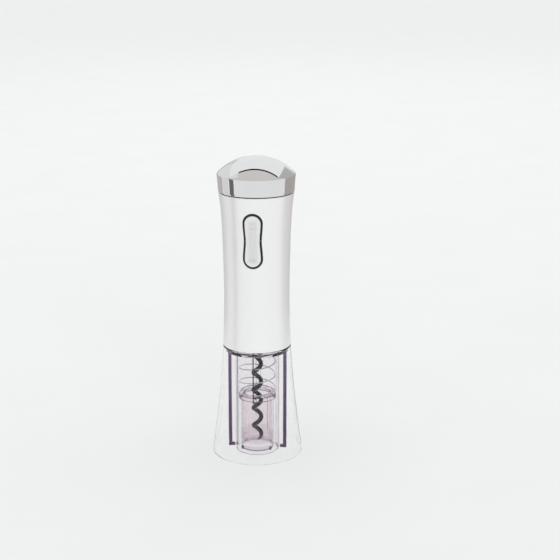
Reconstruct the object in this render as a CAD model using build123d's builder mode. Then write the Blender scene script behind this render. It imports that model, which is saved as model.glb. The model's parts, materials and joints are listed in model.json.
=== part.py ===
"""Electric wine opener: a battery corkscrew that stands on its own clear flared skirt.

Millimetres, +Z up. The origin is on the surface it stands on, under the worm's axis.
The front, with the rocker button, faces -Y, and the charging jack faces +Y.
"""

from build123d import *
import math
import os

os.makedirs("parts", exist_ok=True)

# ---------------------------------------------------------------- driving dimensions
BODY_LOW_Z = 91.6  # lower edge of the white sleeve
BODY_TOP_Z = 216.4
BODY_WALL = 2.0
CAP_LOW_Z = 217.2
CAP_EDGE_Z = 231.0  # where the chrome band turns into the dome
CAP_LOW_R = 30.1
CAP_R = 31.0
CAP_WALL = 1.7
DOME_RISE = 13.4

SKIRT_TOP_Z = 91.4
SKIRT_WALL = 1.8
SKIRT_LIP_LOW_Z = 89.4
SKIRT_LIP_R = 24.4

TUBE_BORE_R = 16.0  # takes a 30 mm bottle finish
TUBE_R = 17.8
TUBE_LOW_Z = 1.0
FLANGE_LOW_Z = 87.0
FLANGE_R = 25.2
SPRING_SEAT_Z = 87.6
SPRING_SEAT_R = 12.6
PLATE_TOP_Z = 95.4  # the prongs' feet rest just above this plate
TWIST = 20.0  # degrees from locked to released
FIN_R = 24.0
FIN_THICK = 2.0
FIN_BEAD_R = 1.35  # the thicker rail along each fin's outer edge
FIN_LOW_Z = 1.6
SLOT_WIDTH = 1.8
SLOT_LOW_Z = 45.5
SLOT_TOP_Z = 86.2

SLEEVE_LOW_Z = 2.5
SLEEVE_R = 13.3
SLEEVE_BORE_R = 10.4
SLEEVE_WALL = 1.0
SLEEVE_FLANGE_Z = 45.7
SLEEVE_TOP_Z = 49.5
SLEEVE_FLANGE_R = 15.1
MOUTH_TOP_Z = 17.5

SPRING_R = 14.6
SPRING_WIRE_R = 0.45
SPRING_PITCH = 11.7
SPRING_RIGHT_Z = 76.6  # a height at which the wire is furthest to +X

WORM_R = 3.1  # the helix that the wire's centre follows
WORM_WIRE_R = 1.75
WORM_PITCH = 15.3
WORM_RIGHT_Z = 12.4
WORM_TIP_Z = 8.4
WORM_POINT = 4.0  # length of the tapered point
WORM_TOP_Z = 90.0
HUB_R = 6.5
HUB_LOW_Z = 86.0
HUB_TOP_Z = 100.5

GEAR_MODULE = 0.625
SUN_TEETH = 12
PLANET_TEETH = 18
RING_TEETH = 48
PLANETS = 3
PRESSURE_ANGLE = math.radians(20)
BACKLASH = 0.06
CARRIER_R = 13.4
PLANET_PIN_R = 1.25
RUNNING_GAP = 0.05
GEARBOX_R = 19.6
GEARBOX_SCREW_R = 17.7

MOTOR_R = 13.85
MOTOR_LOW_Z = 129.5
MOTOR_TOP_Z = 167.0
MOTOR_SHAFT_R = 1.15

CHASSIS_R = 23.6
CHASSIS_BORE_R = 21.9
CHASSIS_LOW_Z = 95.6
CHASSIS_TOP_Z = 213.8

BUTTON_Z = 182.4
BUTTON_PROUD = 1.2
PIVOT_Y = -23.8
BOARD_Y = 16.8  # the inner face of both circuit boards is this far from the axis
BOARD_THICK = 1.4
BOARD_WIDTH = 21.6
JACK_Z = 146.0

CELL_R = 7.1
CELL_LOW_Z = 174.6
CELL_TOP_Z = 222.8
CELL_OFFSET = 7.3

# Radius and height down the outside of the sleeve and of the skirt.
BODY_PROFILE = [(27.6, BODY_LOW_Z), (26.45, 118), (26.2, 142), (26.9, 174), (28.2, 202), (29.9, BODY_TOP_Z)]
SKIRT_PROFILE = [(27.4, SKIRT_TOP_Z), (29.3, 63.6), (32.6, 33.3), (36.8, 0)]


# ---------------------------------------------------------------- helpers
def save(piece, name):
    """Labels a finished piece and writes its STEP file."""
    piece.part.label = name
    export_step(piece.part, f"parts/{name}.step")


def turned(*corners):
    """A solid of revolution about Z, from the (radius, height) corners of its section."""
    with BuildPart() as piece:
        with BuildSketch(Plane.XZ):
            with BuildLine():
                Polyline(*corners, close=True)
            make_face()
        revolve(axis=Axis.Z)
    return piece


def tube(inner_r, outer_r, low, high):
    """A plain tube, or a disc if inner_r is 0."""
    return turned((inner_r, low), (outer_r, low), (outer_r, high), (inner_r, high))


def ring_sector(inner_r, outer_r, low, high, start, end):
    """Part of a tube, between two angles in degrees."""
    with BuildPart() as piece:
        with BuildSketch(Plane.XZ.rotated((0, 0, start))):
            with Locations(((inner_r + outer_r) / 2, (low + high) / 2)):
                Rectangle(outer_r - inner_r, high - low)
        revolve(axis=Axis.Z, revolution_arc=end - start)
    return piece


def inset(profile, amount):
    """The same outline, moved towards the axis."""
    return [(r - amount, z) for r, z in profile]


def curved_shell(profile, wall, corner_r):
    """The section of a thin shell that follows a curved profile, with rounded corners."""
    with BuildSketch(Plane.XZ) as section:
        with BuildLine():
            outer = Spline(*profile)
            inner = Spline(*inset(profile, wall))
            Line(outer @ 0, inner @ 0)
            Line(outer @ 1, inner @ 1)
        make_face()
        fillet(section.vertices(), radius=corner_r)
    return section.sketch


def body_envelope(proud):
    """The section of everything inside the sleeve's outer face, grown by proud."""
    grown = inset(BODY_PROFILE, -proud)
    with BuildSketch(Plane.XZ) as section:
        with BuildLine():
            side = Spline(*grown)
            Polyline(side @ 0, (0, grown[0][1]), (0, grown[-1][1]), side @ 1)
        make_face()
    return section.sketch


def waisted_outline(half_height, end_r, waist):
    """The button's outline: round ends, and sides that draw in at the middle."""
    shoulder = half_height - end_r
    with BuildSketch() as outline:
        with BuildLine():
            ThreePointArc((-end_r, shoulder), (0, half_height), (end_r, shoulder))
            Spline((end_r, shoulder), (waist, 0), (end_r, -shoulder), tangents=[(0, -1), (0, -1)])
            ThreePointArc((end_r, -shoulder), (0, -half_height), (-end_r, -shoulder))
            Spline((-end_r, -shoulder), (-waist, 0), (-end_r, shoulder), tangents=[(0, 1), (0, 1)])
        make_face()
    return outline.sketch


def involute(angle):
    return math.tan(angle) - angle


def gear_outline(teeth, addendum, dedendum, extra=0.0, turn=0.0):
    """A gear's face, with one tooth centred at the angle turn. extra widens each tooth at the pitch circle."""
    pitch_r = GEAR_MODULE * teeth / 2
    base_r = pitch_r * math.cos(PRESSURE_ANGLE)
    tip_r = pitch_r + addendum
    root_r = pitch_r - dedendum
    half_tooth = (math.pi * GEAR_MODULE / 2 + extra) / (2 * pitch_r)

    def flank(radius):
        """Half of the tooth's angle at a radius."""
        rolled = math.acos(min(1.0, base_r / max(radius, base_r)))
        return half_tooth + involute(PRESSURE_ANGLE) - involute(rolled)

    def at(radius, angle):
        return (radius * math.cos(angle), radius * math.sin(angle))

    start_r = max(base_r, root_r)
    steps = [start_r + (tip_r - start_r) * share for share in (0, 0.33, 0.67, 1)]
    with BuildSketch() as face:
        with BuildLine():
            for tooth in range(teeth):
                middle = turn + tooth * 2 * math.pi / teeth
                following = middle + 2 * math.pi / teeth
                rising = [at(r, middle - flank(r)) for r in steps]
                falling = [at(r, middle + flank(r)) for r in reversed(steps)]
                Spline(*rising)
                ThreePointArc(rising[-1], at(tip_r, middle), falling[0])
                Spline(*falling)
                foot = at(root_r, middle + flank(start_r))
                next_foot = at(root_r, following - flank(start_r))
                next_flank = at(start_r, following - flank(start_r))
                if root_r < start_r:
                    Line(falling[-1], foot)
                    Line(next_foot, next_flank)
                ThreePointArc(foot, at(root_r, (middle + following) / 2), next_foot)
        make_face()
    return face.sketch


def helix_rod(radius, wire_r, pitch, right_z, low, high):
    """A right-hand coil from height low to high, furthest to +X at height right_z."""
    start = (low - right_z) / pitch * 360
    path = Helix(pitch=pitch, height=high - low, radius=radius).rotate(Axis.Z, start).moved(Location((0, 0, low)))
    with BuildPart() as coil:
        with BuildSketch(Plane(origin=path @ 0, z_dir=path % 0)):
            Circle(wire_r)
        sweep(path=path, is_frenet=True)
    return coil, path


def lead(points, wire_r, bend_r):
    """An insulated wire: straight runs joined by arcs."""
    with BuildPart() as wire:
        with BuildLine() as route:
            FilletPolyline(*points, radius=bend_r)
        with BuildSketch(Plane(origin=route.line @ 0, z_dir=route.line % 0)):
            Circle(wire_r)
        sweep(path=route.line)
    return wire


# ---------------------------------------------------------------- clear base
def make_skirt():
    """The clear flared skirt, with a thick rim that the body stands on."""
    with BuildPart() as skirt:
        add(curved_shell(SKIRT_PROFILE, SKIRT_WALL, 0.7))
        revolve(axis=Axis.Z)
        add(tube(SKIRT_LIP_R, SKIRT_PROFILE[0][0] - 1, SKIRT_LIP_LOW_Z, SKIRT_TOP_Z).part)
    return skirt


def make_guide_tube():
    """The tube that the bottle's neck enters, with two side fins, a top flange and two prongs."""
    with BuildPart() as guide:
        add(tube(TUBE_BORE_R, TUBE_R, TUBE_LOW_Z, FLANGE_LOW_Z).part)
        add(tube(TUBE_BORE_R, FLANGE_R, FLANGE_LOW_Z, SKIRT_LIP_LOW_Z).part)
        add(tube(SPRING_SEAT_R, TUBE_BORE_R, SPRING_SEAT_Z, SKIRT_LIP_LOW_Z).part)
        fin_long = FIN_R - FIN_BEAD_R - TUBE_R + 1
        fin_middle = TUBE_R - 1 + fin_long / 2
        with Locations(
            (fin_middle, 0, (FIN_LOW_Z + FLANGE_LOW_Z) / 2), (-fin_middle, 0, (FIN_LOW_Z + FLANGE_LOW_Z) / 2)
        ):
            Box(fin_long, FIN_THICK, FLANGE_LOW_Z - FIN_LOW_Z)
        for side in (-1, 1):
            with Locations((side * (FIN_R - FIN_BEAD_R), 0, FIN_LOW_Z)):
                Cylinder(FIN_BEAD_R, FLANGE_LOW_Z - FIN_LOW_Z, align=(Align.CENTER, Align.CENTER, Align.MIN))
            with Locations((side * 19.5, 0, SKIRT_LIP_LOW_Z)):
                Box(2.0, 8.0, 8.0, align=(Align.CENTER, Align.CENTER, Align.MIN))
            with Locations((side * 19.0, 0, PLATE_TOP_Z + 0.15)):
                Box(3.0, 8.0, 1.85, align=(Align.CENTER, Align.CENTER, Align.MIN))
        slot_middle = (SLOT_LOW_Z + SLOT_TOP_Z) / 2
        with Locations((0, TUBE_R, slot_middle), (0, -TUBE_R, slot_middle)):
            Box(SLOT_WIDTH, 6.0, SLOT_TOP_Z - SLOT_LOW_Z, mode=Mode.SUBTRACT)
        fillet(guide.edges().group_by(Axis.Z)[0].filter_by(GeomType.CIRCLE), radius=0.4)
    return guide


def make_cork_sleeve():
    """The sliding sleeve: a ribbed cork bore and a cone that centres the bottle's mouth."""
    groove_in = SLEEVE_BORE_R + SLEEVE_WALL
    groove_out = SLEEVE_R - SLEEVE_WALL
    section = turned(
        (SLEEVE_R, SLEEVE_LOW_Z),
        (SLEEVE_R, SLEEVE_FLANGE_Z),
        (SLEEVE_FLANGE_R, SLEEVE_FLANGE_Z),
        (SLEEVE_FLANGE_R, SLEEVE_TOP_Z),
        (groove_out, SLEEVE_TOP_Z),
        (groove_out, 8.5),
        (groove_in, MOUTH_TOP_Z),
        (groove_in, SLEEVE_TOP_Z),
        (SLEEVE_BORE_R, SLEEVE_TOP_Z),
        (SLEEVE_BORE_R, MOUTH_TOP_Z),
        (12.4, 4.2),
        (12.8, SLEEVE_LOW_Z),
    )
    with BuildPart() as sleeve:
        add(section.part)
        with PolarLocations(SLEEVE_BORE_R - 0.2, 6, start_angle=30):
            with Locations((0, 0, MOUTH_TOP_Z + 0.5)):
                Box(1.0, 0.9, SLEEVE_TOP_Z - MOUTH_TOP_Z - 1.5, align=(Align.CENTER, Align.CENTER, Align.MIN))
        lug_z = (SLEEVE_FLANGE_Z + SLEEVE_TOP_Z) / 2
        with Locations((0, SLEEVE_FLANGE_R + 0.9, lug_z), (0, -SLEEVE_FLANGE_R - 0.9, lug_z)):
            Box(SLOT_WIDTH - 0.4, 2.4, SLEEVE_TOP_Z - SLEEVE_FLANGE_Z - 0.2)
        for angle in (-143, -37, 37, 143):
            with PolarLocations(SLEEVE_R + 0.4, 1, start_angle=angle):
                with Locations((0, 0, SLEEVE_LOW_Z)):
                    Box(1.6, 1.8, 2.4, align=(Align.CENTER, Align.CENTER, Align.MIN))
    return sleeve


def make_spring():
    """The light compression spring between the sleeve and the tube's inner lip."""
    low = SLEEVE_TOP_Z + SPRING_WIRE_R + 0.3
    high = SPRING_SEAT_Z - SPRING_WIRE_R - 0.3
    coil, _ = helix_rod(SPRING_R, SPRING_WIRE_R, SPRING_PITCH, SPRING_RIGHT_Z, low, high)
    return coil


# ---------------------------------------------------------------- housing
def make_body_sleeve():
    """The one-piece waisted sleeve, with a window for the button and a hole for the jack."""
    with BuildPart() as body:
        add(curved_shell(BODY_PROFILE, BODY_WALL, 0.5))
        revolve(axis=Axis.Z)
        with BuildSketch(Plane.XZ.offset(18)):
            with Locations((0, BUTTON_Z)):
                add(waisted_outline(22.2, 7.9, 7.0))
        extrude(amount=14, mode=Mode.SUBTRACT)
        with BuildSketch(Plane.XZ.offset(-18)):
            with Locations((0, JACK_Z)):
                Circle(4.2)
        extrude(amount=-12, mode=Mode.SUBTRACT)
    return body


def make_top_cap():
    """The chrome cap: a band that widens upwards, and a shallow dome, in one thin shell."""
    sphere_r = (CAP_R**2 + DOME_RISE**2) / (2 * DOME_RISE)
    centre_z = CAP_EDGE_Z + DOME_RISE - sphere_r
    inner_r = sphere_r - CAP_WALL
    inner_edge_r = CAP_R - CAP_WALL
    inner_edge_z = centre_z + math.sqrt(inner_r**2 - inner_edge_r**2)
    halfway = math.asin(CAP_R / sphere_r) / 2
    with BuildPart() as cap:
        with BuildSketch(Plane.XZ) as section:
            with BuildLine():
                Line((CAP_LOW_R, CAP_LOW_Z), (CAP_R, CAP_EDGE_Z))
                ThreePointArc(
                    (CAP_R, CAP_EDGE_Z),
                    (sphere_r * math.sin(halfway), centre_z + sphere_r * math.cos(halfway)),
                    (0, centre_z + sphere_r),
                )
                Line((0, centre_z + sphere_r), (0, centre_z + inner_r))
                ThreePointArc(
                    (0, centre_z + inner_r),
                    (inner_r * math.sin(halfway), centre_z + inner_r * math.cos(halfway)),
                    (inner_edge_r, inner_edge_z),
                )
                Polyline(
                    (inner_edge_r, inner_edge_z), (CAP_LOW_R - CAP_WALL, CAP_LOW_Z), (CAP_LOW_R, CAP_LOW_Z)
                )
            make_face()
            fillet(section.vertices().sort_by(Axis.X)[-1], radius=0.7)
        revolve(axis=Axis.Z)
    return cap


def make_cap_seat():
    """The ring that the cap presses onto, screwed to the chassis."""
    seat = turned(
        (18.5, CHASSIS_TOP_Z + 0.1),
        (27.2, CHASSIS_TOP_Z + 0.1),
        (27.2, 217.8),
        (28.1, 218.2),
        (28.1, 223.0),
        (26.4, 223.0),
        (26.4, 216.4),
        (18.5, 216.4),
    )
    with BuildPart() as ring:
        add(seat.part)
        with BuildSketch(Plane.XY.offset(CHASSIS_TOP_Z)):
            with PolarLocations(20.3, 4, start_angle=45):
                Circle(1.25)
        extrude(amount=4, mode=Mode.SUBTRACT)
    return ring


def pan_screws(count, radius, start_angle, head_z, tip_z, shank_r, head_r, head_high):
    """Screws round the axis. The head lies beyond head_z, on the far side from the tip."""
    up = 1 if head_z > tip_z else -1
    with BuildPart() as screws:
        with BuildSketch(Plane.XY.offset(tip_z)):
            with PolarLocations(radius, count, start_angle=start_angle):
                Circle(shank_r)
        extrude(amount=head_z - tip_z)
        with BuildSketch(Plane.XY.offset(head_z)):
            with PolarLocations(radius, count, start_angle=start_angle):
                Circle(head_r)
        extrude(amount=up * head_high)
        with BuildSketch(Plane.XY.offset(head_z + up * head_high)):
            with PolarLocations(radius, count, start_angle=start_angle):
                Rectangle(head_r * 1.3, head_r * 0.3)
                Rectangle(head_r * 0.3, head_r * 1.3)
        extrude(amount=-up * head_high * 0.6, mode=Mode.SUBTRACT)
    return screws


def make_bottom_plate():
    """The plate under the gearbox, with a spigot that centres the clear base."""
    with BuildPart() as plate:
        add(tube(8.2, 25.3, 92.2, PLATE_TOP_Z).part)
        add(tube(21.8, 24.0, 90.0, 92.2).part)
        for start in (0, 180):
            add(ring_sector(18.2, 21.0, 91, 97, start - 13.5, start + TWIST + 13.5).part, mode=Mode.SUBTRACT)
            add(ring_sector(17.2, 21.0, 91, 97, start + TWIST - 13.5, start + TWIST + 13.5).part, mode=Mode.SUBTRACT)
        with BuildSketch(Plane.XY.offset(92.2)):
            with PolarLocations(20.3, 4, start_angle=45):
                Circle(2.2)
        extrude(amount=1.6, mode=Mode.SUBTRACT)
        with BuildSketch(Plane.XY.offset(92.2)):
            with PolarLocations(20.3, 4, start_angle=45):
                Circle(1.25)
        extrude(amount=4, mode=Mode.SUBTRACT)
    return plate


def make_chassis(side):
    """One half of the inner frame. side is -1 for the front half and +1 for the rear half."""
    boss_zs = (134.0, 166.0, 208.0)
    bosses = [(x, z) for x in (-18.2, 18.2) for z in boss_zs]
    with BuildPart() as half:
        add(tube(CHASSIS_BORE_R, CHASSIS_R, CHASSIS_LOW_Z, CHASSIS_TOP_Z).part)
        for low, high in ((102.4, 105.8), (123.0, 126.6)):
            add(tube(GEARBOX_R + 0.1, CHASSIS_BORE_R, low, high).part)
        for low, high in ((138.4, 140.4), (153.2, 155.2)):
            add(tube(MOTOR_R + 0.1, CHASSIS_BORE_R, low, high).part)
        with BuildSketch(Plane.XZ.offset(-side * 7)):
            with Locations(*bosses):
                Circle(2.7)
        extrude(amount=side * 7)
        for low, high in ((CHASSIS_LOW_Z, 100.8), (203.5, CHASSIS_TOP_Z)):
            with BuildSketch(Plane.XY.offset(low)):
                with PolarLocations(20.3, 4, start_angle=45):
                    Circle(2.2)
            extrude(amount=high - low)
            with BuildSketch(Plane.XY.offset(low)):
                with PolarLocations(20.3, 4, start_angle=45):
                    Circle(1.1)
            extrude(amount=high - low, mode=Mode.SUBTRACT)
        with BuildSketch(Plane.XZ.offset(-side * 8)):
            with Locations(*bosses):
                Circle(1.3)
        extrude(amount=side * 9, mode=Mode.SUBTRACT)
        if side < 0:
            with Locations((0, -22, BUTTON_Z)):
                Box(20, 8, 50, mode=Mode.SUBTRACT)
        else:
            with Locations((0, 21, JACK_Z)):
                Box(9.4, 12, 9.4, mode=Mode.SUBTRACT)
        keep = Box(60, 60, 300, align=(Align.CENTER, Align.MIN if side > 0 else Align.MAX, Align.CENTER),
                   mode=Mode.PRIVATE)
        add(keep.moved(Location((0, 0, 150))), mode=Mode.INTERSECT)
    return half


def make_chassis_screws():
    """Six screws that close the two chassis halves, put in from the rear."""
    places = [(x, z) for x in (-18.2, 18.2) for z in (134.0, 166.0, 208.0)]
    with BuildPart() as screws:
        with BuildSketch(Plane.XZ.offset(6.5)):
            with Locations(*places):
                Circle(1.28)
        extrude(amount=-13.5)
        with BuildSketch(Plane.XZ.offset(-7)):
            with Locations(*places):
                Circle(1.9)
        extrude(amount=-1.4)
        with BuildSketch(Plane.XZ.offset(-8.4)):
            with Locations(*places):
                Rectangle(2.8, 0.6)
                Rectangle(0.6, 2.8)
        extrude(amount=0.9, mode=Mode.SUBTRACT)
    return screws


# ---------------------------------------------------------------- button and electronics
def make_bezel():
    """The black surround of the button, with the flange and walls that carry its pivot."""
    with BuildPart() as bezel:
        with BuildSketch(Plane.XZ.offset(22.4)):
            with Locations((0, BUTTON_Z)):
                add(waisted_outline(22.2, 7.9, 7.0))
                add(waisted_outline(21.0, 6.9, 6.0), mode=Mode.SUBTRACT)
        extrude(amount=9)
        add(body_envelope(-0.25))
        revolve(axis=Axis.Z, mode=Mode.INTERSECT)
        with BuildSketch(Plane.XZ.offset(21.2)):
            with Locations((0, BUTTON_Z)):
                Rectangle(18.8, 49)
                Rectangle(11.6, 38, mode=Mode.SUBTRACT)
        extrude(amount=1.2)
        with Locations((0, PIVOT_Y, BUTTON_Z)):
            Cylinder(0.8, 20, rotation=(0, 90, 0), mode=Mode.SUBTRACT)
    return bezel


def make_button():
    """The rocker: a waisted key that stands a little proud, dished under the finger at each end."""
    dish_r = 24.0
    with BuildPart() as button:
        with BuildSketch(Plane.XZ.offset(25.3)):
            with Locations((0, BUTTON_Z)):
                add(waisted_outline(20.4, 6.3, 5.4))
        extrude(amount=8)
        add(body_envelope(BUTTON_PROUD))
        revolve(axis=Axis.Z, mode=Mode.INTERSECT)
        front = button.faces().sort_by(Axis.Y)[0]
        fillet(front.edges(), radius=0.9)
        for step in (-12.5, 12.5):
            surface_y = 27.2 + BUTTON_PROUD + (step / 12.5) * 0.55
            with Locations((0, -surface_y - dish_r + 0.45, BUTTON_Z + step)):
                Sphere(dish_r, mode=Mode.SUBTRACT)
        with Locations((0, -23.95, BUTTON_Z)):
            Box(4.4, 2.7, 4.4)
        with Locations((0, PIVOT_Y, BUTTON_Z)):
            Cylinder(0.8 + RUNNING_GAP, 10, rotation=(0, 90, 0), mode=Mode.SUBTRACT)
    return button


def make_rocker_pin():
    with BuildPart() as pin:
        with Locations((0, PIVOT_Y, BUTTON_Z)):
            Cylinder(0.8, 14, rotation=(0, 90, 0))
    return pin


def make_board(side, low, high):
    """A circuit board on edge, with a hole in each corner. side is -1 at the front, +1 at the rear."""
    plane = Plane.XZ.offset(-side * BOARD_Y)
    with BuildPart() as board:
        with BuildSketch(plane):
            with Locations((0, (low + high) / 2)):
                RectangleRounded(BOARD_WIDTH, high - low, 1.2)
                with GridLocations(BOARD_WIDTH - 4, high - low - 4, 2, 2):
                    Circle(0.9, mode=Mode.SUBTRACT)
        extrude(amount=-side * BOARD_THICK)
    return board


def make_tact_switch(z):
    """A square tact switch, with a metal cover and a round plunger."""
    with BuildPart() as switch:
        with BuildSketch(Plane.XZ.offset(BOARD_Y + BOARD_THICK)):
            with Locations((0, z)):
                RectangleRounded(6.0, 6.0, 0.6)
        extrude(amount=3.0)
        with BuildSketch(Plane.XZ.offset(21.2)):
            with Locations((0, z)):
                Circle(1.7)
        extrude(amount=3.3)
    return switch


def make_control_parts():
    """The chips and coil on the rear board, as separate solids."""
    low_y = BOARD_Y + BOARD_THICK
    chips = [(-4.5, 196, 8, 6, 1.4), (4.5, 186, 6, 9, 1.8), (-5, 180, 5, 5, 1.2), (4, 198, 4, 4, 2.2)]
    with BuildPart() as parts:
        for x, z, wide, high, deep in chips:
            with BuildSketch(Plane.XZ.offset(-low_y)):
                with Locations((x, z)):
                    Rectangle(wide, high)
            extrude(amount=-deep)
        with BuildSketch(Plane.XZ.offset(-low_y)):
            with Locations((0, 168)):
                Circle(4.0)
        extrude(amount=-2.6)
    return parts


def make_jack():
    """The charging socket: a square body, a round collar in the sleeve, and the centre pin."""
    with BuildPart() as jack:
        with BuildSketch(Plane.XZ.offset(-15.4)):
            with Locations((0, JACK_Z)):
                RectangleRounded(9.0, 9.0, 0.8)
        extrude(amount=-7.6)
        with BuildSketch(Plane.XZ.offset(-23)):
            with Locations((0, JACK_Z)):
                Circle(4.1)
        extrude(amount=-3.1)
        with BuildSketch(Plane.XZ.offset(-17)):
            with Locations((0, JACK_Z)):
                Circle(2.75)
                Circle(1.05, mode=Mode.SUBTRACT)
        extrude(amount=-9.2, mode=Mode.SUBTRACT)
        with BuildSketch(Plane.XZ.offset(-25.2)):
            with Locations((0, JACK_Z)):
                Circle(1.2)
        extrude(amount=-1.0, mode=Mode.SUBTRACT)
    return jack


# ---------------------------------------------------------------- battery
def make_cell(x, y):
    """One AA-size rechargeable cell."""
    with BuildPart() as cell:
        with BuildSketch(Plane.XY.offset(CELL_LOW_Z)):
            with Locations((x, y)):
                Circle(CELL_R)
        extrude(amount=CELL_TOP_Z - CELL_LOW_Z)
        fillet(cell.edges().filter_by(GeomType.CIRCLE), radius=0.6)
        with BuildSketch(Plane.XY.offset(CELL_TOP_Z)):
            with Locations((x, y)):
                Circle(2.6)
        extrude(amount=1.2)
    return cell


def make_battery_base():
    with BuildPart() as base:
        with BuildSketch(Plane.XY.offset(CELL_LOW_Z - 1.6)):
            RectangleRounded(30, 30, 4)
            Circle(3.5, mode=Mode.SUBTRACT)
        extrude(amount=1.6)
    return base


def make_battery_clamp():
    with BuildPart() as clamp:
        with BuildSketch(Plane.XY.offset(224.4)):
            Circle(17.8)
            Circle(3.5, mode=Mode.SUBTRACT)
        extrude(amount=1.8)
    return clamp


def make_cell_links():
    """Two nickel strips across the tops of the cells."""
    with BuildPart() as links:
        with BuildSketch(Plane.XY.offset(224.05)):
            with Locations((-CELL_OFFSET, 0), (CELL_OFFSET, 0)):
                RectangleRounded(5.0, 2 * CELL_OFFSET + 6, 1.5)
        extrude(amount=0.25)
    return links


# ---------------------------------------------------------------- motor
def make_motor_can():
    """The drawn steel can, with its front boss."""
    can = turned(
        (1.25, 127.3),
        (4.9, 127.3),
        (4.9, MOTOR_LOW_Z),
        (MOTOR_R, MOTOR_LOW_Z),
        (MOTOR_R, MOTOR_TOP_Z),
        (MOTOR_R - 0.8, MOTOR_TOP_Z),
        (MOTOR_R - 0.8, MOTOR_LOW_Z + 1),
        (1.25, MOTOR_LOW_Z + 1),
    )
    with BuildPart() as motor:
        add(can.part)
        with BuildSketch(Plane.XY.offset(MOTOR_LOW_Z)):
            with Locations((8.0, 0), (-8.0, 0)):
                Circle(1.25)
        extrude(amount=1, mode=Mode.SUBTRACT)
    return motor


def make_magnets():
    """The two arc magnets inside the can."""
    with BuildPart() as magnets:
        with BuildSketch(Plane.XY.offset(134)):
            Circle(12.95)
            Circle(10.7, mode=Mode.SUBTRACT)
            Rectangle(60, 12, mode=Mode.SUBTRACT)
        extrude(amount=26)
    return magnets


def make_endbell():
    """The motor's plastic end cap, with the rear shaft bearing."""
    return turned(
        (1.25, 165.4),
        (12.9, 165.4),
        (12.9, MOTOR_TOP_Z),
        (13.4, MOTOR_TOP_Z),
        (13.4, 169.2),
        (4.4, 169.2),
        (4.4, 170.4),
        (1.25, 170.4),
    )


def make_terminals():
    """The motor's two brass tabs."""
    with BuildPart() as tabs:
        with BuildSketch(Plane.XY.offset(169.2)):
            with Locations((8.5, 0), (-8.5, 0)):
                Rectangle(0.5, 2.8)
        extrude(amount=3.0)
    return tabs


def make_armature():
    """The three-pole rotor core with its windings and the commutator."""
    with BuildPart() as armature:
        with BuildSketch(Plane.XY.offset(136)):
            Circle(10.2)
            Circle(MOTOR_SHAFT_R, mode=Mode.SUBTRACT)
            with PolarLocations(9.0, 3):
                Rectangle(6.0, 1.4, mode=Mode.SUBTRACT)
        extrude(amount=22)
        with BuildSketch(Plane.XY.offset(158)):
            Circle(3.6)
            Circle(MOTOR_SHAFT_R, mode=Mode.SUBTRACT)
        extrude(amount=6)
    return armature


# ---------------------------------------------------------------- gearbox and worm
def make_pinion(low, high, bore_r):
    """A sun gear, with a tooth towards +X."""
    with BuildPart() as pinion:
        with BuildSketch(Plane.XY.offset(low)):
            add(gear_outline(SUN_TEETH, 0.5, 0.65, -BACKLASH))
            if bore_r:
                Circle(bore_r, mode=Mode.SUBTRACT)
        extrude(amount=high - low)
    return pinion


def planet_turn(angle):
    """How far a planet at an angle is turned, so that its teeth mesh with the sun and the ring."""
    return angle + math.pi - (math.pi - SUN_TEETH * angle) / PLANET_TEETH


def planet_place(number):
    orbit_r = GEAR_MODULE * (SUN_TEETH + PLANET_TEETH) / 2
    angle = number * 2 * math.pi / PLANETS
    return (orbit_r * math.cos(angle), orbit_r * math.sin(angle)), angle


def make_planet(number, low, high):
    place, angle = planet_place(number)
    with BuildPart() as planet:
        with BuildSketch(Plane.XY.offset(low)):
            with Locations(place):
                add(gear_outline(PLANET_TEETH, 0.5, 0.65, -BACKLASH, planet_turn(angle)))
                Circle(PLANET_PIN_R + RUNNING_GAP, mode=Mode.SUBTRACT)
        extrude(amount=high - low)
    return planet


def make_carrier(plate_low, plate_high, pin_high):
    """A carrier plate, with a pin for each planet standing up from it."""
    with BuildPart() as carrier:
        with BuildSketch(Plane.XY.offset(plate_low)):
            Circle(CARRIER_R)
        extrude(amount=plate_high - plate_low)
        with BuildSketch(Plane.XY.offset(plate_high)):
            with Locations(*[planet_place(number)[0] for number in range(PLANETS)]):
                Circle(PLANET_PIN_R)
        extrude(amount=pin_high - plate_high)
    return carrier


def make_first_carrier():
    """The motor-side carrier, in one piece with the second stage's sun gear."""
    with BuildPart() as carrier:
        add(make_carrier(116.0, 118.4, 124.4).part)
        add(make_pinion(109.6, 116.0, 0).part)
    return carrier


def make_output_carrier():
    """The output-side carrier, with the shaft that drives the worm's hub."""
    with BuildPart() as carrier:
        add(make_carrier(106.6, 109.2, 115.4).part)
        add(tube(0, 3.0, 94.0, 106.6).part)
        fillet(carrier.edges().filter_by(GeomType.CIRCLE).group_by(Axis.Z)[0], radius=0.4)
    return carrier


def make_ring_gear():
    """The gearbox case, toothed inside, with through holes for its screws."""
    with BuildPart() as case:
        with BuildSketch(Plane.XY.offset(106)):
            Circle(GEARBOX_R)
            add(gear_outline(RING_TEETH, 0.65, 0.5, BACKLASH, math.pi / RING_TEETH), mode=Mode.SUBTRACT)
            with PolarLocations(GEARBOX_SCREW_R, 4, start_angle=45):
                Circle(1.2, mode=Mode.SUBTRACT)
        extrude(amount=21)
    return case


def make_gearbox_plate(low, high, bore_r, motor_holes):
    """An end plate of the gearbox."""
    with BuildPart() as plate:
        with BuildSketch(Plane.XY.offset(low)):
            Circle(GEARBOX_R)
            Circle(bore_r, mode=Mode.SUBTRACT)
            with PolarLocations(GEARBOX_SCREW_R, 4, start_angle=45):
                Circle(1.2, mode=Mode.SUBTRACT)
            if motor_holes:
                with Locations((8.0, 0), (-8.0, 0)):
                    Circle(1.3, mode=Mode.SUBTRACT)
        extrude(amount=high - low)
    return plate


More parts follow.
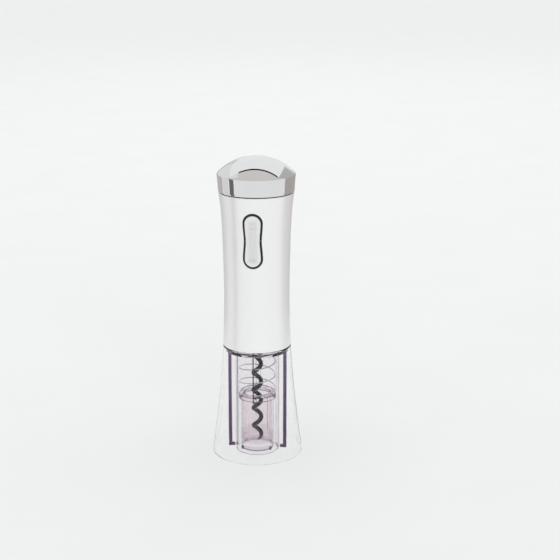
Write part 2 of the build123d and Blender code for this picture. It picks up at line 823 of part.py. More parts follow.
def make_motor_screws():
    """Two short screws that hold the motor to its plate."""
    with BuildPart() as screws:
        with BuildSketch(Plane.XY.offset(127.0)):
            with Locations((8.0, 0), (-8.0, 0)):
                Circle(1.2)
        extrude(amount=4.2)
        with BuildSketch(Plane.XY.offset(127.0)):
            with Locations((8.0, 0), (-8.0, 0)):
                Circle(2.2)
        extrude(amount=-1.2)
    return screws


def make_hub():
    """The steel hub that grips the worm's shank and takes the output shaft."""
    with BuildPart() as hub:
        add(tube(0, HUB_R, HUB_LOW_Z, HUB_TOP_Z).part)
        chamfer(hub.edges().filter_by(GeomType.CIRCLE), length=0.6)
        with Locations((0, 0, HUB_TOP_Z)):
            CounterBoreHole(3.0, 3.2, 0.5, HUB_TOP_Z - 94.0)
        with BuildSketch(Plane.XY.offset(HUB_LOW_Z)):
            Circle(WORM_R + WORM_WIRE_R + 0.06)
        extrude(amount=WORM_TOP_Z - HUB_LOW_Z + 1.2, mode=Mode.SUBTRACT)
        with Locations((4.75, 0, 97.4)):
            Cylinder(1.45, 3.7, rotation=(0, 90, 0), mode=Mode.SUBTRACT)
    return hub


def make_set_screw():
    with BuildPart() as screw:
        with Locations((4.65, 0, 97.4)):
            Cylinder(1.42, 3.3, rotation=(0, 90, 0))
        with BuildSketch(Plane.YZ.offset(6.3)):
            with Locations((0, 97.4)):
                RegularPolygon(0.75, 6)
        extrude(amount=-1.4, mode=Mode.SUBTRACT)
    return screw


def make_worm():
    """The coated worm: a helical rod that runs out in a straight point."""
    climb = WORM_PITCH / math.hypot(WORM_PITCH, 2 * math.pi * WORM_R)
    low = WORM_TIP_Z + WORM_POINT * climb
    rod, path = helix_rod(WORM_R, WORM_WIRE_R, WORM_PITCH, WORM_RIGHT_Z, low, WORM_TOP_Z)
    point_plane = Plane(origin=path @ 0, z_dir=-(path % 0))
    with BuildPart() as worm:
        add(rod.part)
        with BuildSketch(point_plane):
            Circle(WORM_WIRE_R)
        with BuildSketch(point_plane.offset(WORM_POINT)):
            Circle(0.15)
        loft()
    return worm


# ---------------------------------------------------------------- build everything
save(make_skirt(), "flared_skirt")
save(make_guide_tube(), "guide_tube")
save(make_cork_sleeve(), "cork_sleeve")
save(make_spring(), "sleeve_spring")

save(make_body_sleeve(), "body_sleeve")
save(make_top_cap(), "top_cap")
save(tube(27.9, 29.0, BODY_TOP_Z, CAP_LOW_Z), "cap_gasket")
save(make_cap_seat(), "cap_seat")
save(pan_screws(4, 20.3, 45, 216.4, 206.0, 1.1, 2.0, 1.3), "cap_screws")
save(make_bottom_plate(), "bottom_plate")
save(pan_screws(4, 20.3, 45, 93.8, 101.0, 1.1, 2.0, 1.3), "base_screws")
save(make_chassis(-1), "chassis_front")
save(make_chassis(1), "chassis_rear")
save(make_chassis_screws(), "chassis_screws")

save(make_bezel(), "button_bezel")
save(make_button(), "rocker_button")
save(make_rocker_pin(), "rocker_pin")
save(make_board(-1, 160.0, 205.0), "switch_board")
save(make_tact_switch(BUTTON_Z + 14), "up_switch")
save(make_tact_switch(BUTTON_Z - 14), "down_switch")
save(make_board(1, 156.5, 206.0), "control_board")
save(make_control_parts(), "control_parts")
save(make_jack(), "charge_jack")

for number, (x, y) in enumerate([(1, 1), (-1, 1), (-1, -1), (1, -1)], start=1):
    save(make_cell(x * CELL_OFFSET, y * CELL_OFFSET), f"battery_cell_{number}")
save(make_battery_base(), "battery_base")
save(make_battery_clamp(), "battery_clamp")
save(make_cell_links(), "cell_links")

save(make_motor_can(), "motor_can")
save(make_magnets(), "motor_magnets")
save(make_endbell(), "motor_endbell")
save(make_terminals(), "motor_terminals")
save(make_armature(), "motor_armature")
save(tube(0, MOTOR_SHAFT_R, 118.8, 171.0), "motor_shaft")
save(make_pinion(118.9, 125.6, MOTOR_SHAFT_R), "motor_pinion")
save(make_motor_screws(), "motor_screws")

save(make_gearbox_plate(127.0, MOTOR_LOW_Z, 5.0, True), "motor_plate")
save(make_gearbox_plate(102.2, 106.0, 5.0, False), "output_plate")
save(make_ring_gear(), "ring_gear")
save(pan_screws(4, GEARBOX_SCREW_R, 45, 102.2, 129.0, 1.15, 1.8, 1.2), "gearbox_screws")
save(make_first_carrier(), "first_carrier")
save(make_output_carrier(), "output_carrier")
for number in range(PLANETS):
    save(make_planet(number, 119.0, 124.2), f"first_planet_{number + 1}")
    save(make_planet(number, 109.8, 115.0), f"second_planet_{number + 1}")
save(turned((3.05, 101.0), (7.0, 101.0), (7.0, 102.2), (5.0, 102.2), (5.0, 106.0), (3.05, 106.0)), "output_bush")
save(make_hub(), "worm_hub")
save(make_set_screw(), "hub_set_screw")
save(make_worm(), "worm")

WIRE_R = 0.6
LEAD_END_Y = BOARD_Y - WIRE_R - 0.1
for name, side in (("red", 1), ("black", -1)):
    motor_route = [(side * 9.4, 0, 170.6), (side * 9.7, 6, 170.8), (side * 7.4, 14.6, 170.6),
                   (side * 6, 15.4, 164), (side * 6, LEAD_END_Y, 160)]
    battery_route = [(side * 6.5, 15.4, 223.0), (side * 6.6, 15.6, 214), (side * 6.2, 15.4, 206),
                     (side * 6, LEAD_END_Y, 202)]
    save(lead(motor_route, WIRE_R, 1.0), f"motor_lead_{name}")
    save(lead(battery_route, WIRE_R, 1.0), f"battery_lead_{name}")
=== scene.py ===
"""Looks of the electric wine opener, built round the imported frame. Metres, same frame as the CAD."""

import bpy
import json
import math
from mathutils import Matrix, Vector

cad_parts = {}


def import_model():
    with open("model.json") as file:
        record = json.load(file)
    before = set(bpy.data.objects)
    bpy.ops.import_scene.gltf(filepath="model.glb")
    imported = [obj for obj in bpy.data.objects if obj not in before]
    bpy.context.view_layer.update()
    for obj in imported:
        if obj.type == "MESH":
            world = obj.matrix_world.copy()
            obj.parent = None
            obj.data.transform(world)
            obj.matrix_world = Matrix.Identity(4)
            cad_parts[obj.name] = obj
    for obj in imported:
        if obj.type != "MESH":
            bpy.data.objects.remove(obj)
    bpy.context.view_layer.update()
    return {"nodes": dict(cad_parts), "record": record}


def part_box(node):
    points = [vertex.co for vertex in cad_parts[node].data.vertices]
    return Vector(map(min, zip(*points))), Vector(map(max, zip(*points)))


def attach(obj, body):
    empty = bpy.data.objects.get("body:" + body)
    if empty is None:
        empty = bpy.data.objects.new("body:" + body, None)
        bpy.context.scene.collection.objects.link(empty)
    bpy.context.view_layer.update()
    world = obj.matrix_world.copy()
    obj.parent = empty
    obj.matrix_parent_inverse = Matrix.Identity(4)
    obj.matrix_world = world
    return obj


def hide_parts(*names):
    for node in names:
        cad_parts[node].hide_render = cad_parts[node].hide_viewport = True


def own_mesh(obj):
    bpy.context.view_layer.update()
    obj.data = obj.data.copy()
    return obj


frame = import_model()
nodes = frame["nodes"]
slot_of = {entry["node"]: entry["material_slot"] for entry in frame["record"]["subparts"]}
MM = 0.001


def in_mm(node):
    """Lowest and highest corner of a CAD node, in millimetres."""
    low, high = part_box(node)
    return [v / MM for v in low], [v / MM for v in high]


# ---------------------------------------------------------------- driving dimensions, in millimetres
FAR = 100.0                 # past every edge of the object
BLUR = 0.3                  # half the width of the soft edge of an area of painted shade or frost

# guide tube: side rails with feet, a top flange with lugs, and a slot at the front and the rear
RAIL_IN = 21.2
FOOT_IN, FOOT_TOP_Z = 18.6, 4.0
TUBE_FLANGE_Z = 86.8
TUBE_FLANGE_IN = 24.8
# x spans of the painted shade on the flange's rim over the lugs
LUG_SHADE_SPANS = ((-30.0, -19.4), (19.2, 20.7), (21.6, 30.0))
SLOT_FOOT_Z = 45.2
SLOT_HALF = 1.0
SLOT_LINE = (-1.8, -0.8)

# sliding sleeve: a flange at the top, tabs and a rim at the foot, a cone in its mouth
SLEEVE_FLANGE_Z, SLEEVE_TOP_Z = 45.7, 49.5
SLEEVE_FLANGE_IN = 14.6
BORE_EDGE = (8.0, 11.0)
TAB_IN, TAB_TOP_Z = 13.4, 6.0
RIM_IN, RIM_TOP_Z = 12.3, 3.4
CONE_R, CONE_TOP_Z = 13.0, 17.2

# chrome cap
CAP_R, CAP_FOOT_R, CAP_WALL = 31.0, 30.1, 1.7
CAP_EDGE_Z = 231.0
EDGE_ROUND = 0.75

# worm and return spring
WORM_PITCH, WORM_REACH, WORM_WIRE_R = 15.3, 3.1, 1.75
WORM_TIP_Z, WORM_TOP_Z, WORM_RIGHT_Z = 8.4, 90.0, 12.4
SPRING_PITCH, SPRING_REACH, SPRING_WIRE_R, SPRING_RIGHT_Z = 11.7, 14.6, 0.45, 76.6
SPRING_SEAT_Z = 87.6


# ---------------------------------------------------------------- materials
class Look:
    """A Principled material with small helpers for procedural detail in object space."""

    def __init__(self, name, color, rough, metal=0.0, **sockets):
        self.material = bpy.data.materials.new(name)
        self.material.use_nodes = True
        self.tree = self.material.node_tree
        self.shader = self.tree.nodes["Principled BSDF"]
        self.color = color
        self.rough = rough
        self.shader.inputs["Base Color"].default_value = (*color, 1)
        self.shader.inputs["Roughness"].default_value = rough
        self.shader.inputs["Metallic"].default_value = metal
        for key, value in sockets.items():
            self.shader.inputs[key.replace("_", " ")].default_value = value
        self.place = self.new("ShaderNodeTexCoord").outputs["Object"]
        self.axes = self.new("ShaderNodeSeparateXYZ")
        self.link(self.place, self.axes.inputs[0])
        self.x, self.y, self.z = (self.axes.outputs[axis] for axis in "XYZ")

    def new(self, kind, **values):
        node = self.tree.nodes.new(kind)
        for key, value in values.items():
            setattr(node, key, value)
        return node

    def link(self, a, b):
        self.tree.links.new(a, b)

    def paint(self, color):
        self.link(color, self.shader.inputs["Base Color"])

    def noise(self, scale, detail=3.0, stretch=None):
        node = self.new("ShaderNodeTexNoise")
        node.inputs["Scale"].default_value = scale
        node.inputs["Detail"].default_value = detail
        place = self.place
        if stretch:
            mapping = self.new("ShaderNodeMapping")
            mapping.inputs["Scale"].default_value = stretch
            self.link(place, mapping.inputs["Vector"])
            place = mapping.outputs["Vector"]
        self.link(place, node.inputs["Vector"])
        return node.outputs["Fac"]

    def ranged(self, value, low, high, start=0.3, end=0.7):
        """Goes from low to high as value goes from start to end."""
        node = self.new("ShaderNodeMapRange")
        self.link(value, node.inputs["Value"])
        node.inputs["From Min"].default_value = start
        node.inputs["From Max"].default_value = end
        node.inputs["To Min"].default_value = low
        node.inputs["To Max"].default_value = high
        return node.outputs["Result"]

    def math(self, kind, a, b=None):
        node = self.new("ShaderNodeMath", operation=kind)
        for number, value in enumerate((a, b)):
            if value is None:
                continue
            if isinstance(value, (int, float)):
                node.inputs[number].default_value = value
            else:
                self.link(value, node.inputs[number])
        return node.outputs[0]

    def both(self, *shares):
        """The product of shares."""
        return self.folded("MULTIPLY", shares)

    def largest(self, *shares):
        return self.folded("MAXIMUM", shares)

    def folded(self, kind, shares):
        out = shares[0]
        for share in shares[1:]:
            out = self.math(kind, out, share)
        return out

    def length(self, a, b):
        """The length of the flat vector (a, b)."""
        return self.math("SQRT", self.math("ADD", self.math("POWER", a, 2.0), self.math("POWER", b, 2.0)))

    def between(self, value, low, high):
        """1 where value lies between low and high millimetres."""
        rise = self.ranged(value, 0, 1, (low - BLUR) * MM, (low + BLUR) * MM)
        fall = self.ranged(value, 1, 0, (high - BLUR) * MM, (high + BLUR) * MM)
        return self.math("MULTIPLY", rise, fall)

    def mix(self, share, a, b):
        node = self.new("ShaderNodeMix", data_type="RGBA")
        self.link(share, node.inputs["Factor"])
        for number, value in ((6, a), (7, b)):
            if isinstance(value, tuple):
                node.inputs[number].default_value = (*value, 1)
            else:
                self.link(value, node.inputs[number])
        return node.outputs[2]

    def tint(self, value, spread):
        """The base colour varies by spread either way with value."""
        dark = tuple(c * (1 - spread) for c in self.color)
        light = tuple(min(1.0, c * (1 + spread)) for c in self.color)
        out = self.mix(value, dark, light)
        self.paint(out)
        return out

    def gloss(self, value, spread):
        """The roughness varies by spread either way with value."""
        out = self.ranged(value, max(0.0, self.rough - spread), self.rough + spread)
        self.link(out, self.shader.inputs["Roughness"])

    def bump(self, value, strength, depth):
        node = self.new("ShaderNodeBump")
        node.inputs["Strength"].default_value = strength
        node.inputs["Distance"].default_value = depth
        self.link(value, node.inputs["Height"])
        self.link(node.outputs["Normal"], self.shader.inputs["Normal"])


def satin_pearl():
    coat = {"Coat_Weight": 0.3, "Coat_Roughness": 0.16, "Coat_IOR": 1.5}
    look = Look("pearl", (0.83, 0.835, 0.825), 0.32, 0.40, **coat)
    look.tint(look.ranged(look.noise(5200, 2.0), 0, 1), 0.03)
    look.gloss(look.noise(420), 0.03)
    look.bump(look.noise(900, 2.0), 0.05, 0.00004)
    return look.material


def mirror_chrome():
    look = Look("chrome", (0.80, 0.80, 0.805), 0.04, 1.0)
    look.tint(look.ranged(look.noise(60, 4.0), 0, 1), 0.015)
    look.gloss(look.ranged(look.noise(140, 5.0), 0, 1, 0.45, 0.75), 0.018)
    look.bump(look.noise(26, 1.0), 0.02, 0.0001)
    return look.material


EDGE_SHADE_VIOLET = (0.095, 0.038, 0.125)
FROST = (0.79, 0.69, 0.75)


def clear_plastic(name, glass, dark=None, frost=None):
    """Clear plastic with painted shade where it is seen edge-on, scuffed at the foot.

    glass is a face colour, an edge colour for the painted shade, the colour and density in the depth, a
    roughness and an IOR.
    dark gives the share that gets the deep violet painted shade and frost the share that is frosted."""
    color, edge, depth_color, density, rough, ior = glass
    look = Look(name, color, rough, 0.0, Transmission_Weight=1.0, IOR=ior)
    # painted shade: the base colour turns to the darker edge colour where the surface is seen edge-on
    facing = look.new("ShaderNodeLayerWeight")
    facing.inputs["Blend"].default_value = 0.25
    grazing = look.ranged(facing.outputs["Facing"], 0, 1, 0.35, 0.95)
    mottle = look.mix(look.ranged(look.noise(90, 2.0), 0, 1), color, tuple(c * 0.985 for c in color))
    tone_and_painted_shade = look.mix(grazing, mottle, edge)
    scuff = look.ranged(look.noise(700, 4.0, (1, 1, 0.25)), 0, 1, 0.55, 0.8)
    low_edge = look.ranged(look.z, 1, 0, 0.0, 4 * MM)
    haze = look.ranged(look.both(scuff, low_edge), rough, rough + 0.16, 0, 1)
    if dark:
        # painted shade: deep violet where the mask says the plastic is seen edge-on
        tone_and_painted_shade = look.mix(dark(look), tone_and_painted_shade, EDGE_SHADE_VIOLET)
    if frost:
        frosted = frost(look)
        tone_and_painted_shade = look.mix(look.both(frosted, 0.40), tone_and_painted_shade, FROST)
        haze = look.math("ADD", haze, look.both(frosted, 0.25))
    look.paint(tone_and_painted_shade)
    look.link(haze, look.shader.inputs["Roughness"])
    look.bump(look.noise(55, 1.0), 0.012, 0.0001)
    volume = look.new("ShaderNodeVolumeAbsorption")
    volume.inputs["Color"].default_value = (*depth_color, 1)
    volume.inputs["Density"].default_value = density
    look.link(volume.outputs[0], look.tree.nodes["Material Output"].inputs["Volume"])
    return look.material


def tube_edge_shade(look):
    """Painted deep violet shade, for the plastic seen edge-on: on the rails and their feet, the flange's
    edges and lugs, and beside the front slot.
    """
    across = look.math("ABSOLUTE", look.x)
    rail = look.both(look.between(across, RAIL_IN, 30), look.between(look.z, -1, TUBE_FLANGE_Z))
    foot = look.both(look.between(across, FOOT_IN, 30), look.between(look.z, -1, FOOT_TOP_Z))
    rim = look.between(look.length(look.x, look.y), TUBE_FLANGE_IN, 40)
    low_edge = look.both(rim, look.between(look.z, TUBE_FLANGE_Z, TUBE_FLANGE_Z + 0.5), 0.45)
    lugs = look.largest(*(look.between(look.x, low, high) for low, high in LUG_SHADE_SPANS))
    lugs = look.both(rim, lugs, look.between(look.z, TUBE_FLANGE_Z, FAR))
    beside = look.between(look.z, SLOT_FOOT_Z, TUBE_FLANGE_Z)
    slot = look.both(look.between(across, -FAR, SLOT_HALF), beside)
    line = look.both(look.between(look.x, *SLOT_LINE), look.between(look.y, -30, 0), beside)
    return look.largest(rail, foot, low_edge, lugs, slot, line)


def sleeve_edge_shade(look):
    """Painted deep violet shade, for the plastic seen edge-on: on the edges of the flange, and on the tabs
    and the rim at the foot.
    """
    reach = look.length(look.x, look.y)
    outer = look.between(reach, SLEEVE_FLANGE_IN, 30)
    top_edge = look.both(outer, look.between(look.z, SLEEVE_TOP_Z - 0.6, 60))
    low_edge = look.both(outer, look.between(look.z, SLEEVE_FLANGE_Z - 0.7, SLEEVE_FLANGE_Z + 0.6))
    bore_edge = look.both(look.between(reach, *BORE_EDGE), look.between(look.z, SLEEVE_TOP_Z - 0.7, 60), 0.8)
    tabs = look.both(look.between(reach, TAB_IN, 30), look.between(look.z, 0, TAB_TOP_Z))
    rim = look.both(look.between(reach, RIM_IN, 30), look.between(look.z, 0, RIM_TOP_Z), 0.9)
    return look.largest(top_edge, low_edge, bore_edge, tabs, rim)


def cone_frost(look):
    """The cone in the mouth of the sleeve is frosted."""
    inside = look.between(look.length(look.x, look.y), -10, CONE_R)
    return look.both(inside, look.between(look.z, -1, CONE_TOP_Z))


def grained(name, color, rough, metal=0.0, scale=1800, depth=0.00003, spread=0.08, **sockets):
    look = Look(name, color, rough, metal, **sockets)
    look.tint(look.ranged(look.noise(scale * 0.35), 0, 1), spread)
    look.gloss(look.noise(scale * 0.2), 0.05)
    look.bump(look.noise(scale, 2.0), 0.25, depth)
    return look.material


def machined(name, color, rough, stretch=(1, 1, 14), scale=320):
    look = Look(name, color, rough, 1.0)
    lines = look.noise(scale, 3.0, stretch)
    look.tint(look.ranged(lines, 0, 1), 0.06)
    look.gloss(lines, 0.07)
    look.bump(lines, 0.12, 0.00002)
    return look.material


def silver_button():
    """Silver paint with a painted highlight round the edge, with three small dimples at each end and a fine
    grain below.
    """
    low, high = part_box("rocker_button")
    middle = (low[2] + high[2]) / 2
    reach = (high[2] - low[2]) / 2
    look = Look("silver", (0.76, 0.755, 0.75), 0.24, 0.85, Coat_Weight=0.25, Coat_Roughness=0.2)
    flecked = look.tint(look.ranged(look.noise(5200, 2.0), 0, 1), 0.05)
    from_middle = look.math("ABSOLUTE", look.math("SUBTRACT", look.z, middle))
    # painted highlight: paler towards the sides and ends of the face, where its rounded edge catches the
    # light
    sides = look.ranged(look.math("ABSOLUTE", look.x), 0, 0.6, 2.2 * MM, 5.0 * MM)
    ends = look.ranged(from_middle, 0, 0.8, reach * 0.70, reach * 0.97)
    look.paint(look.mix(look.largest(sides, ends), flecked, (0.93, 0.93, 0.92)))
    dimples = []
    for end in (1, -1):
        for x, share in ((0, 0.80), (1.6 * MM, 0.72), (-1.6 * MM, 0.72)):
            across = look.math("SUBTRACT", look.x, x)
            along = look.math("SUBTRACT", look.z, middle + end * share * reach)
            dimples.append(look.ranged(look.length(across, along), 0, 1, 0.3 * MM, 0.6 * MM))
    grain = look.ranged(look.noise(2600, 2.0), 0, 1)
    foot = look.ranged(look.z, 0.35, 0.04, middle - reach, middle - reach * 0.5)
    look.gloss(look.noise(700), 0.03)
    look.bump(look.math("ADD", look.both(*dimples), look.both(grain, foot)), 0.6, 0.00022)
    return look.material


# The second colour of each is the painted shade for the plastic seen edge-on.
GLASS = ((0.995, 0.995, 0.995), (0.76, 0.77, 0.77), (0.8, 0.83, 0.84), 5.0, 0.015, 1.28)
LILAC = ((0.990, 0.980, 0.990), (0.36, 0.27, 0.38), (0.5, 0.36, 0.48), 24.0, 0.02, 1.22)
ROSE = ((0.990, 0.975, 0.980), (0.36, 0.26, 0.36), (0.5, 0.34, 0.44), 12.0, 0.02, 1.15)
MATT_BLACK = {"scale": 1400, "depth": 0.00002, "spread": 0.2, "Specular_IOR_Level": 0.12}
LOOKS = {
    "pearl_body": satin_pearl(),
    "chrome_cap": mirror_chrome(),
    "clear_skirt": clear_plastic("clear_plastic", GLASS),
    "lilac_clear": clear_plastic("lilac_plastic", LILAC),
    "seal": grained("soft_black", (0.012, 0.012, 0.013), 0.55),
    "spring_wire": machined("drawn_wire", (0.62, 0.62, 0.63), 0.22, (1, 1, 1), 900),
    "worm_coating": grained("worm_black", (0.005, 0.005, 0.006), 0.36, **MATT_BLACK),
    "dark_trim": grained("black_trim", (0.014, 0.014, 0.016), 0.38),
    "silver_button": silver_button(),
    "frame_plastic": grained("moulded_grey", (0.25, 0.25, 0.27), 0.5),
    "fastener": machined("zinc", (0.6, 0.6, 0.62), 0.3),
    "gear_steel": machined("machined_steel", (0.5, 0.5, 0.51), 0.3),
    "gear_plastic": grained("acetal", (0.8, 0.79, 0.74), 0.42),
    "circuit_board": grained("solder_mask", (0.02, 0.17, 0.07), 0.35, 0.0, 900),
    "components": grained("moulded_black", (0.02, 0.02, 0.022), 0.5),
    "cell_wrap": grained("cell_wrap", (0.05, 0.2, 0.38), 0.3),
    "nickel": machined("nickel", (0.68, 0.66, 0.62), 0.3),
    "motor_steel": machined("drawn_steel", (0.58, 0.58, 0.59), 0.28),
    "magnet": grained("ferrite", (0.05, 0.05, 0.055), 0.6),
    "brass": machined("brass", (0.74, 0.56, 0.27), 0.3),
    "red_wire": grained("red_insulation", (0.45, 0.02, 0.02), 0.45),
    "black_wire": grained("black_insulation", (0.012, 0.012, 0.012), 0.45),
}

OWN = {
    "guide_tube": clear_plastic("tube_plastic", LILAC, tube_edge_shade),
    "cork_sleeve": clear_plastic("sleeve_plastic", ROSE, sleeve_edge_shade, cone_frost),
}

for name, node in nodes.items():
    for place in node.material_slots:
        place.material = OWN.get(name, LOOKS[slot_of[name]])
    if slot_of[name] in ("clear_skirt", "lilac_clear"):
        node.visible_shadow = False
        node.visible_diffuse = False


# ---------------------------------------------------------------- mesh helpers
def placed(name, points, faces, material):
    """A new mesh object with one material."""
    mesh = bpy.data.meshes.new(name)
    mesh.from_pydata(points, [], faces)
    mesh.materials.append(material)
    thing = bpy.data.objects.new(name, mesh)
    bpy.context.scene.collection.objects.link(thing)
    return thing


def made(name, points, faces, body, node, angle):
    """A mesh piece that stands for a CAD node and rides on its body."""
    piece = placed(name, points, faces, LOOKS[slot_of[node]])
    piece.data.validate()
    piece.data.shade_smooth()
    piece.data.set_sharp_from_angle(angle=math.radians(angle))
    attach(piece, body)
    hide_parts(node)
    return piece


def ring_of(steps, reach):
    turns = (2 * math.pi * step / steps for step in range(steps))
    return [(reach * math.cos(angle), reach * math.sin(angle)) for angle in turns]


def lathe(outline, steps):
    """Points and faces of a closed (radius, height) outline turned about Z."""
    points = [(r * x * MM, r * y * MM, z * MM) for x, y in ring_of(steps, 1.0) for r, z in outline]
    faces = []
    count = len(outline)
    for step in range(steps):
        here, there = step * count, (step + 1) % steps * count
        for k in range(count):
            after = (k + 1) % count
            faces.append((here + k, there + k, there + after, here + after))
    return points, faces


def rod(stations, sides):
    """Points and faces of a rod through (centre, radius) stations, closed at both ends."""
    points, faces = [], []
    count = len(stations)
    side = None
    for number, (centre, radius) in enumerate(stations):
        before = stations[max(number - 1, 0)][0]
        after = stations[min(number + 1, count - 1)][0]
        along = (after - before).normalized()
        if side is None:
            side = along.orthogonal().normalized()
        side = (side - along * side.dot(along)).normalized()
        other = along.cross(side)
        points += [tuple((centre + side * x + other * y) * MM) for x, y in ring_of(sides, radius)]
    for number in range(count - 1):
        for k in range(sides):
            a, b = number * sides + k, number * sides + (k + 1) % sides
            faces.append((a, b, b + sides, a + sides))
    faces.append(tuple(reversed(range(sides))))
    faces.append(tuple(range((count - 1) * sides, count * sides)))
    return points, faces


def curve_point(a, b, c, t):
    """The point at t on the quadratic curve from a to c, pulled towards b."""
    return tuple(a[k] * (1 - t) ** 2 + b[k] * 2 * t * (1 - t) + c[k] * t * t for k in (0, 1))


# ---------------------------------------------------------------- chrome cap
def build_cap():
    """The band leans out a little to a rounded edge, and a shallow dome closes the top."""
    low, high = in_mm("top_cap")
    foot_z, apex = low[2], high[2]
    rise = apex - CAP_EDGE_Z
    sphere = (CAP_R**2 + rise**2) / (2 * rise)
    centre = apex - sphere

    def dome(radius, reach, steps):
        shares = (1 - step / steps for step in range(steps + 1))
        return [(reach * share, centre + math.sqrt(radius**2 - (reach * share) ** 2)) for share in shares]

    outer = dome(sphere, CAP_R - EDGE_ROUND, 48)
    inner = list(reversed(dome(sphere - CAP_WALL, CAP_R - CAP_WALL - 0.4, 24)))
    band = []
    band_low, band_high = foot_z + 0.3, CAP_EDGE_Z - EDGE_ROUND
    for step in range(9):
        t = step / 8
        hollow = 0.05 * math.sin(math.pi * t)
        band.append((CAP_FOOT_R + (CAP_R - CAP_FOOT_R) * t - hollow, band_low + (band_high - band_low) * t))
    peak = (CAP_R + 0.02, CAP_EDGE_Z + 0.02)
    corner = [curve_point(band[-1], peak, outer[0], step / 8) for step in range(1, 8)]
    foot = [(28.7, foot_z), (29.8, foot_z), (30.02, foot_z + 0.09)]
    outline = foot + band + corner + outer + inner + [(28.4, foot_z + 0.3)]
    made("cap_shell", *lathe(outline, 224), "housing", "top_cap", 40)


# ---------------------------------------------------------------- spring and worm
def build_worm():
    """A right-hand helix that tapers to its point over the first nine millimetres of wire."""
    steps, rise_per_length, taper_length, tip_r = 420, 0.617, 9.0, 0.12
    stations = []
    for step in range(steps + 1):
        z = WORM_TIP_Z + (WORM_TOP_Z - WORM_TIP_Z) * (step / steps) ** 1.25
        angle = 2 * math.pi * (z - WORM_RIGHT_Z) / WORM_PITCH
        taper = min(1.0, (z - WORM_TIP_Z) / rise_per_length / taper_length)
        thick = tip_r + (WORM_WIRE_R - tip_r) * math.sin(taper * math.pi / 2) ** 0.9
        reach = WORM_REACH + (WORM_WIRE_R - thick) * 0.35
        stations.append((Vector((reach * math.cos(angle), reach * math.sin(angle), z)), thick))
    made("worm_screw", *rod(stations, 24), "worm_drive", "worm", 60)


def build_spring():
    """An open coil whose ends ease into flat turns on the sleeve and under the body."""
    steps, flat, ease, gap = 560, 0.9, 0.35, 0.06
    low = SLEEVE_TOP_Z + SPRING_WIRE_R + gap
    high = SPRING_SEAT_Z - SPRING_WIRE_R - gap
    start, end = (low - SPRING_RIGHT_Z) / SPRING_PITCH, (high - SPRING_RIGHT_Z) / SPRING_PITCH
    stations = []
    for step in range(steps + 1):
        turn = start - flat + (end - start + 2 * flat) * step / steps
        z = min(max(SPRING_RIGHT_Z + turn * SPRING_PITCH, low), high)
        if abs(turn - start) < ease:
            z = low + SPRING_PITCH * (turn - start + ease) ** 2 / (4 * ease)
        if abs(end - turn) < ease:
            z = high - SPRING_PITCH * (end - turn + ease) ** 2 / (4 * ease)
        angle = 2 * math.pi * turn
        centre = Vector((SPRING_REACH * math.cos(angle), SPRING_REACH * math.sin(angle), z))
        stations.append((centre, SPRING_WIRE_R))
    piece = made("return_spring", *rod(stations, 12), "base", "sleeve_spring", 60)
    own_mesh(piece)


build_cap()
build_worm()
build_spring()


# ---------------------------------------------------------------- stage: floor, backdrop, cards and lights
STAGE_SIDES = 96
FLOOR_REACH, WALL_REACH, WALL_TOP = 10.1, 10.0, 6.0


def glowing(name, color):
    """A material that is black, with its own steady glow."""
    material = bpy.data.materials.new(name)
    material.use_nodes = True
    shader = material.node_tree.nodes["Principled BSDF"]
    shader.inputs["Base Color"].default_value = (0, 0, 0, 1)
    shader.inputs["Specular IOR Level"].default_value = 0
    shader.inputs["Emission Color"].default_value = (*color, 1)
    shader.inputs["Emission Strength"].default_value = 1
    return material


def floor():
    look = Look("pale_floor", (0.81, 0.815, 0.812), 0.7, Specular_IOR_Level=0.0)
    look.tint(look.ranged(look.noise(9, 4.0), 0, 1), 0.008)
    look.gloss(look.noise(30), 0.04)
    points = [(x, y, -0.00002) for x, y in ring_of(STAGE_SIDES, FLOOR_REACH)]
    placed("floor", points, [tuple(range(STAGE_SIDES))], look.material)


def backdrop():
    """A round pale wall at the edge of the floor, seen by the camera and through the clear plastic only."""
    points = [(x, y, z) for x, y in ring_of(STAGE_SIDES, WALL_REACH) for z in (-0.01, WALL_TOP)]
    count = len(points)
    faces = [(k, k + 1, (k + 3) % count, (k + 2) % count) for k in range(0, count, 2)]
    wall = placed("backdrop", points, faces, glowing("backdrop", (0.88, 0.885, 0.885)))
    wall.visible_glossy = False
    wall.visible_diffuse = False
    wall.visible_shadow = False


def card(name, place, turn, width, height, color):
    """A rectangle of one brightness, seen in reflections only. Unturned it lies flat."""
    w, h = width / 2, height / 2
    corners = [(-w, -h, 0), (w, -h, 0), (w, h, 0), (-w, h, 0)]
    piece = placed(name, corners, [(0, 1, 2, 3)], glowing(name, color))
    piece.location = place
    piece.rotation_euler = turn
    piece.visible_camera = False
    piece.visible_transmission = False
    piece.visible_shadow = False
    piece.visible_diffuse = False


def upright(name, azimuth, distance, width, low, high, color):
    """An upright card that faces the axis. Azimuth 0 is the front, positive to the right."""
    angle = math.radians(azimuth)
    place = (distance * math.sin(angle), -distance * math.cos(angle), (low + high) / 2)
    card(name, place, (math.pi / 2, 0, angle), width, high - low, color)


SOFTBOX_PLACE, SOFTBOX_WIDTH, SOFTBOX_LENGTH = (-0.11, 1.845, 1.24), 1.66, 3.11


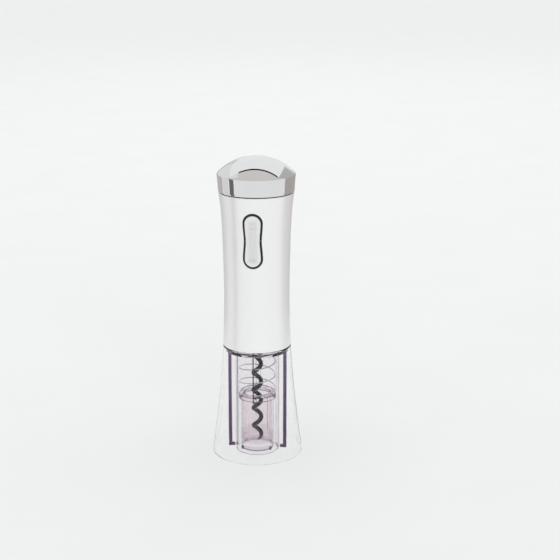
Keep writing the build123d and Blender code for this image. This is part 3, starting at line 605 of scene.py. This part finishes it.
def cards():
    card("softbox", SOFTBOX_PLACE, (0, 0, 0), SOFTBOX_WIDTH, SOFTBOX_LENGTH, (0.93, 0.94, 0.94))
    card("softbox_rim", (0.055, 0.25, 1.24), (0, 0, 0), 1.21, 0.08, (0, 0, 0))
    card("ceiling", (0.07, -1.29, 1.26), (0, 0, 0), 1.34, 3.0, (0.68, 0.67, 0.66))
    upright("back_wall", 180, 4.5, 2.6, 0.0, 1.7, (0.86, 0.87, 0.87))
    upright("left_wall", -125, 2.6, 3.2, 0.28, 6.0, (0.82, 0.82, 0.82))
    upright("right_wall", 128, 2.6, 3.2, 0.28, 6.0, (0.50, 0.50, 0.50))
    upright("dark_bar", -70.0, 0.40, 0.11, 0.0, 0.26, (0.16, 0.16, 0.16))
    upright("left_white", -94, 0.42, 0.18, 0.0, 0.27, (0.76, 0.75, 0.74))
    upright("grey_left", -140, 0.36, 0.42, 0.0, 0.27, (0.54, 0.52, 0.51))
    upright("grey_right", 133, 0.36, 0.52, 0.0, 0.27, (0.45, 0.42, 0.41))


def lamp(name, kind, strength):
    """A light that doesn't show in reflections or to the camera."""
    data = bpy.data.lights.new(name, kind)
    data.energy = strength
    light = bpy.data.objects.new(name, data)
    bpy.context.scene.collection.objects.link(light)
    light.visible_glossy = False
    light.visible_camera = False
    return light


def softbox_light():
    light = lamp("overhead", "AREA", 2.5)
    light.data.shape = "RECTANGLE"
    light.data.size, light.data.size_y = SOFTBOX_WIDTH, SOFTBOX_LENGTH
    light.location = SOFTBOX_PLACE


def far_light(name, direction, spread, strength):
    """Light that comes from one side and is the same all over the floor."""
    light = lamp(name, "SUN", strength)
    light.data.angle = math.radians(spread)
    light.rotation_euler = Vector(direction).to_track_quat("Z", "Y").to_euler()


def world():
    studio = bpy.data.worlds.new("studio")
    bpy.context.scene.world = studio
    studio.use_nodes = True
    background = studio.node_tree.nodes["Background"]
    background.inputs["Color"].default_value = (0.93, 0.94, 0.95, 1)
    background.inputs["Strength"].default_value = 0.70


def camera():
    """The photograph's viewing angle, fitted to the ellipses of the cap, the body and the skirt."""
    data = bpy.data.cameras.new("camera")
    data.sensor_width = 36
    data.lens = 78.9
    data.shift_x, data.shift_y = 0.0041, 0.0077
    data.clip_start, data.clip_end = 0.01, 60
    eye = bpy.data.objects.new("camera", data)
    bpy.context.scene.collection.objects.link(eye)
    eye.location = (0.1068, -0.94, 0.4057)
    eye.rotation_euler = tuple(math.radians(v) for v in (74.35, 0.0, 5.47))
    bpy.context.scene.camera = eye


floor()
backdrop()
world()
softbox_light()
far_light("sky", (0, 0, 1), 100, 0.92)
far_light("front_fill", (0.6, -2.2, 0.78), 40, 1.08)
cards()
camera()
bpy.context.scene.view_settings.view_transform = "Standard"
bpy.context.scene.cycles.max_bounces = 32
bpy.context.scene.cycles.transmission_bounces = 32
